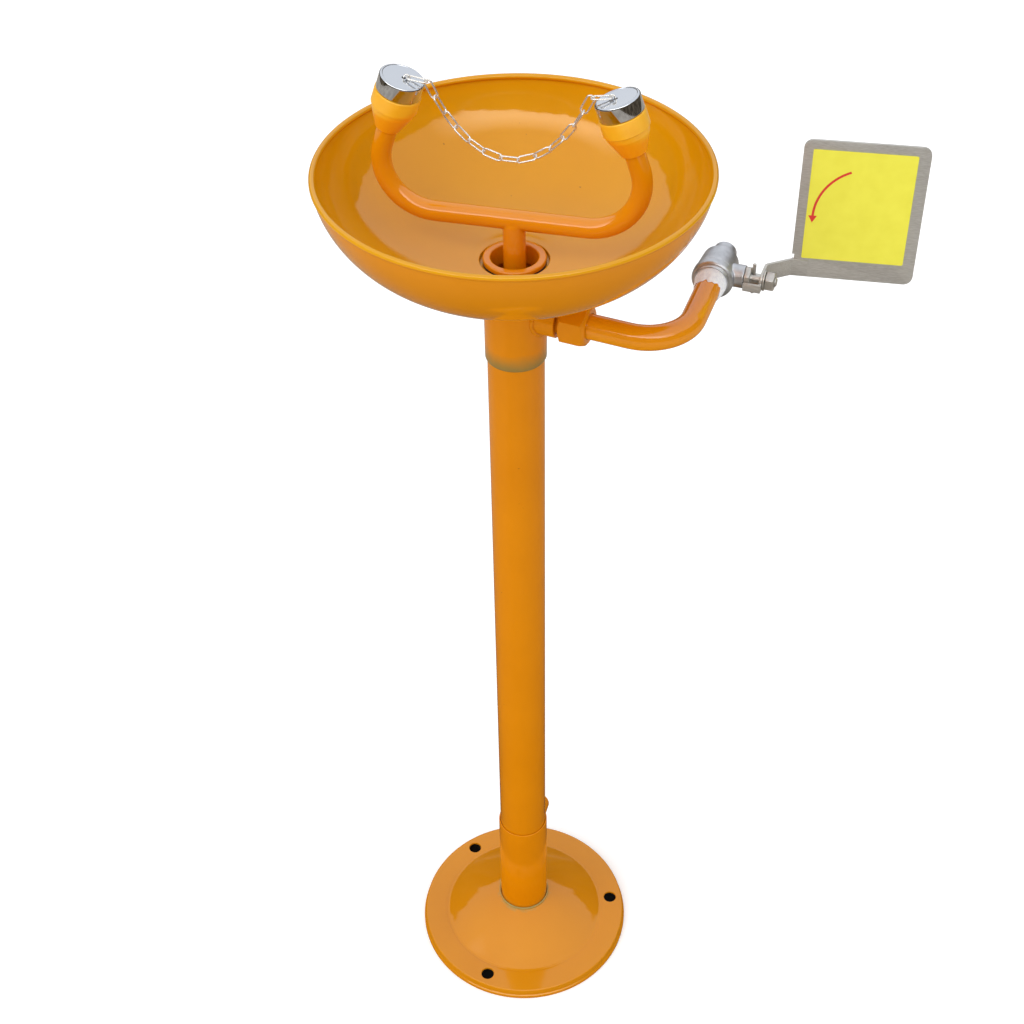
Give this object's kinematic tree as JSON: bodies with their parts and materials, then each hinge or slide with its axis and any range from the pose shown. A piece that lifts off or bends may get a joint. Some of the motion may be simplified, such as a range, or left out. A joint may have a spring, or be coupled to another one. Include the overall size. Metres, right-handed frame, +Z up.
{
  "type": "pedestal eyewash station",
  "caption": "Free-standing eyewash on a floor flange: painted column and bowl, a forked spray yoke with chained dust caps, and a ball valve opened by a push plate.",
  "frame": {"origin": "On the floor, on the axis of the column.", "axes": "+Z up, +X to the side of the supply arm and push plate, +Y to the back, where the waste outlet and the water inlet are."},
  "size_m": [0.4065, 0.2742, 0.9074],
  "materials": {
    "orange_paint": "glossy powder coat on steel",
    "yellow_plastic": "moulded plastic, semi-gloss",
    "chrome_plate": "bright chrome plate",
    "cast_steel": "dull cast stainless steel",
    "sheet_steel": "brushed stainless sheet",
    "black_rubber": "matt rubber",
    "white_seal": "white fluoropolymer seal and tape",
    "yellow_label": "printed film"
  },
  "bodies": {
    "stand": {"base_flange": "orange_paint", "socket_end_plate": "orange_paint", "base_socket": "orange_paint", "drain_outlet": "orange_paint", "column_tube": "orange_paint", "bowl_collar": "orange_paint", "bowl": "orange_paint", "drain_gasket": "black_rubber", "drain_ring": "orange_paint", "riser_pipe": "orange_paint", "yoke_tube": "orange_paint", "spray_head_left": "yellow_plastic", "spray_head_right": "yellow_plastic", "spray_plate_left": "yellow_plastic", "spray_plate_right": "yellow_plastic", "flow_regulator_left": "white_seal", "flow_regulator_right": "white_seal", "inlet_coupling": "orange_paint", "hex_adapter": "orange_paint", "supply_pipe": "orange_paint", "thread_tape": "white_seal", "valve_body": "cast_steel", "valve_end_piece": "cast_steel", "valve_seat_front": "white_seal", "valve_seat_back": "white_seal", "stem_packing": "white_seal", "gland_nut": "cast_steel"},
    "handle": {"valve_ball": "chrome_plate", "valve_stem": "cast_steel", "stop_pin": "cast_steel", "push_handle": "sheet_steel", "handle_label": "yellow_label", "handle_washer": "cast_steel", "handle_nut": "cast_steel"},
    "cap_left": {"dust_cap_left": "chrome_plate", "cap_staple_left": "chrome_plate", "chain_link_01": "chrome_plate"},
    "cap_right": {"dust_cap_right": "chrome_plate", "cap_staple_right": "chrome_plate", "chain_link_15": "chrome_plate"},
    "chain_left": {"chain_link_02": "chrome_plate", "chain_link_03": "chrome_plate", "chain_link_04": "chrome_plate", "chain_link_05": "chrome_plate", "chain_link_06": "chrome_plate", "chain_link_07": "chrome_plate", "chain_link_08": "chrome_plate"},
    "chain_right": {"chain_link_09": "chrome_plate", "chain_link_10": "chrome_plate", "chain_link_11": "chrome_plate", "chain_link_12": "chrome_plate", "chain_link_13": "chrome_plate", "chain_link_14": "chrome_plate"}
  },
  "joints": [
    {"name": "push_handle_turn", "type": "hinge", "parent": "stand", "child": "handle", "pos_m": [0.12937, 0.08472, 0.7312], "axis": [-0.9982, 0.0593, 0], "range_deg": [0, 90]},
    {"name": "cap_left_lift", "type": "slide", "parent": "stand", "child": "cap_left", "axis": [0.3253, 0.0142, 0.9455], "range_m": [0, 0.02]},
    {"name": "cap_right_lift", "type": "slide", "parent": "stand", "child": "cap_right", "axis": [-0.3253, -0.0142, 0.9455], "range_m": [0, 0.02]},
    {"name": "chain_left_swing", "type": "hinge", "parent": "cap_left", "child": "chain_left", "pos_m": [-0.05714, -0.00249, 0.90072], "axis": [-0.0436, 0.999, 0], "range_deg": [0, 6.1]},
    {"name": "chain_right_swing", "type": "hinge", "parent": "cap_right", "child": "chain_right", "pos_m": [0.05214, 0.00228, 0.90072], "axis": [0.0436, -0.999, 0], "range_deg": [0, 7.76]}
  ],
  "couplings": [
    {"joint": "cap_right_lift", "follows": "cap_left_lift", "ratio": 1},
    {"joint": "chain_left_swing", "follows": "cap_left_lift", "rad_per_m": 5.32},
    {"joint": "chain_right_swing", "follows": "cap_left_lift", "rad_per_m": 6.77}
  ]
}
